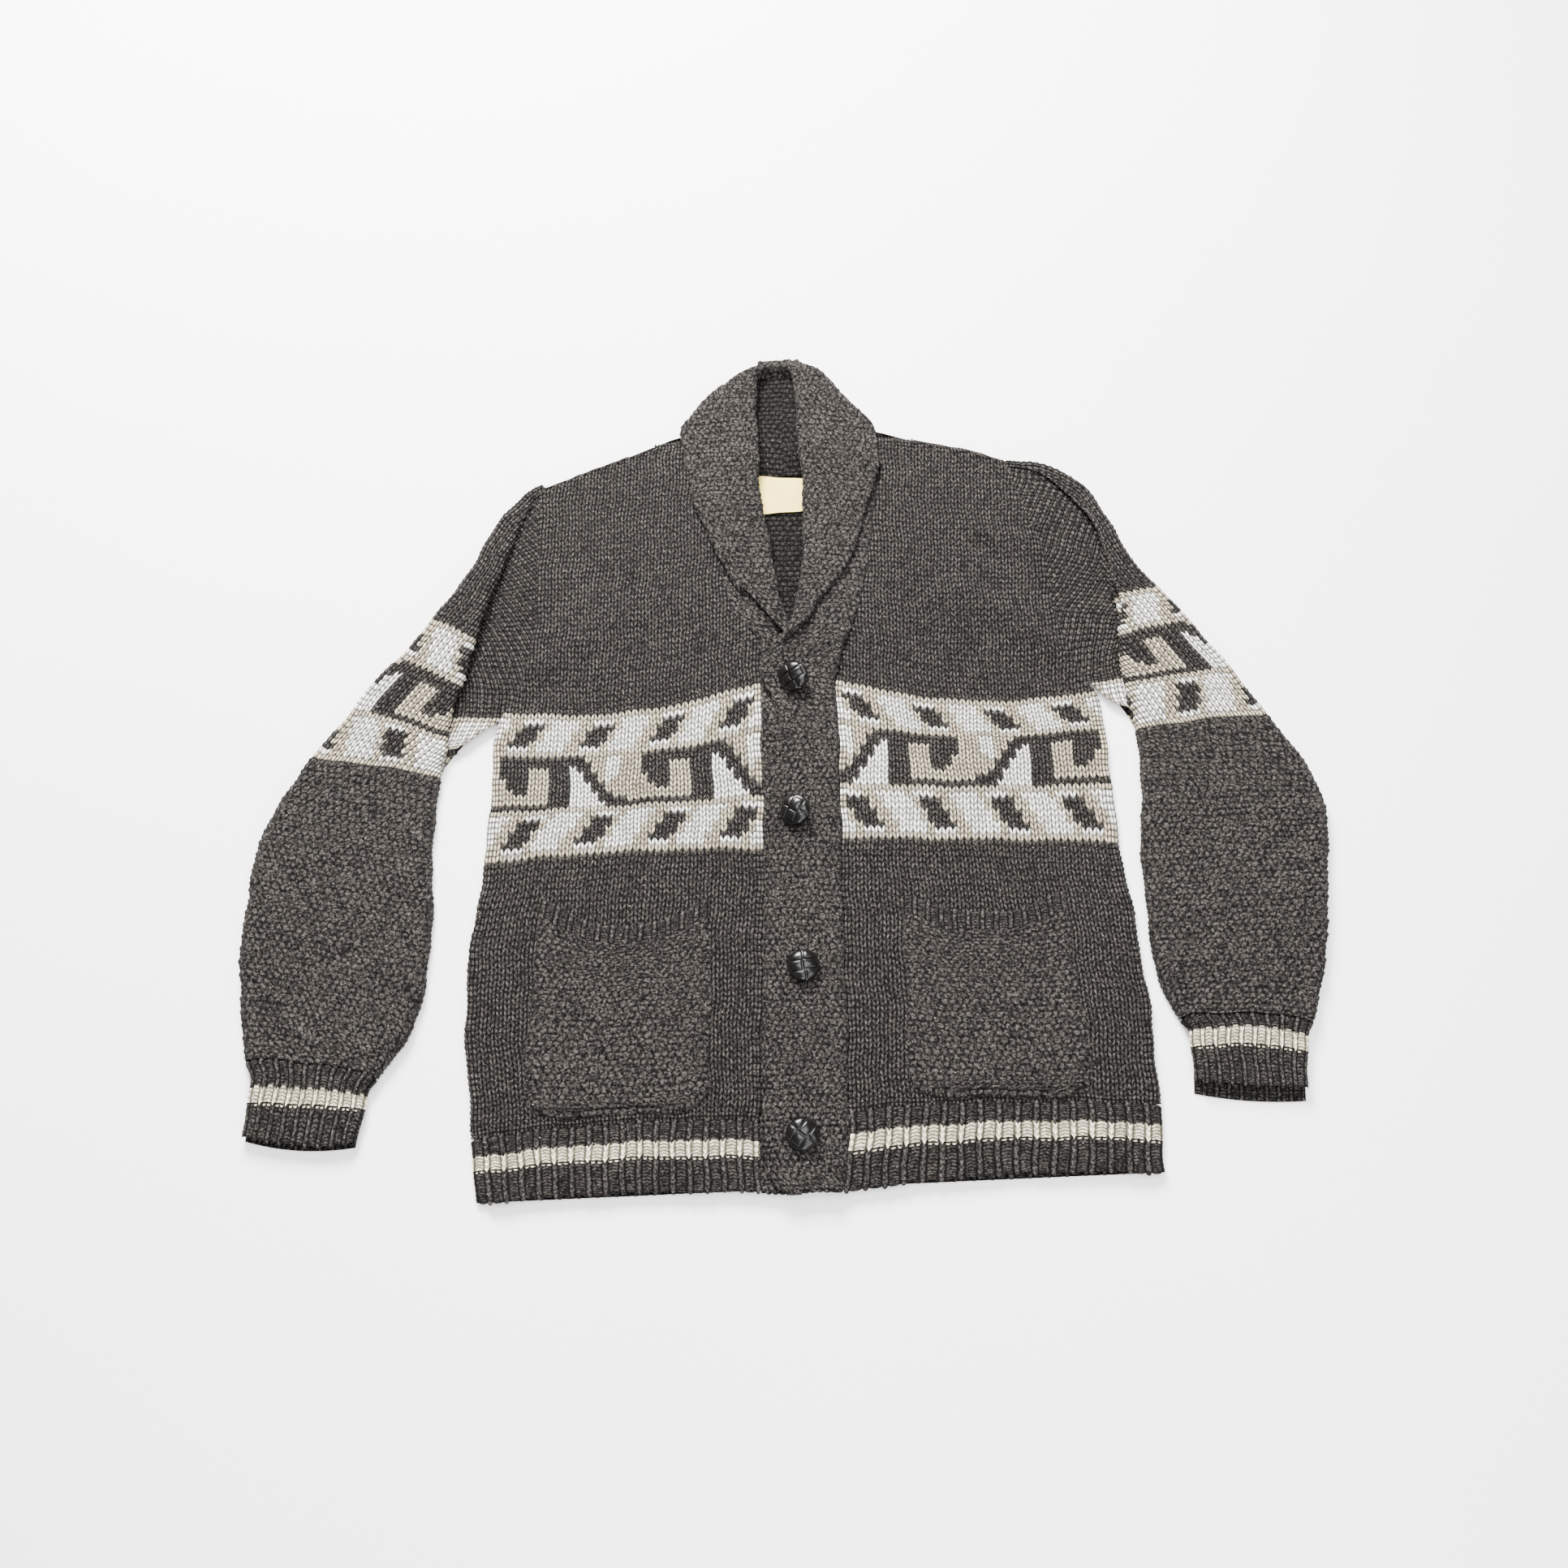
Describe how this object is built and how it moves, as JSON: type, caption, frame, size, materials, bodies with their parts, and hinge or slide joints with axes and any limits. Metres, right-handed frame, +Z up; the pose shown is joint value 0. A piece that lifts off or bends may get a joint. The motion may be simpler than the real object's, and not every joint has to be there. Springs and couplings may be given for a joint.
{
  "type": "shawl-collar cardigan laid flat",
  "caption": "Thick knitted shawl-collar cardigan with patch pockets, a geometric band and woven leather buttons, buttoned and laid flat.",
  "frame": {"origin": "centre of the bounding box, on the surface the cardigan lies on", "axes": "+Y from the hem to the neck, +X towards the wearer's left sleeve, +Z up out of the front"},
  "size_m": [0.9386, 0.8001, 0.0329],
  "materials": {
    "wool_body": "chunky charcoal-brown heather knit with a cream, beige and dark geometric band, matt",
    "wool_sleeves": "chunky charcoal-brown heather knit with a cream, beige and dark geometric band, matt",
    "wool_pockets": "charcoal-brown heather moss stitch with a ribbed trim, matt",
    "wool_collar": "charcoal-brown heather moss stitch, matt",
    "button_leather": "dark brown woven leather, glossy",
    "label_cloth": "plain pale cream woven tape"
  },
  "bodies": {
    "root": {"back": "wool_body", "front_right": "wool_body", "front_left": "wool_body", "sleeve_right": "wool_sleeves", "sleeve_left": "wool_sleeves", "pocket_right": "wool_pockets", "pocket_left": "wool_pockets", "collar_right": "wool_collar", "collar_left": "wool_collar", "button_1": "button_leather", "button_2": "button_leather", "button_3": "button_leather", "button_4": "button_leather", "label": "label_cloth"}
  },
  "joints": []
}
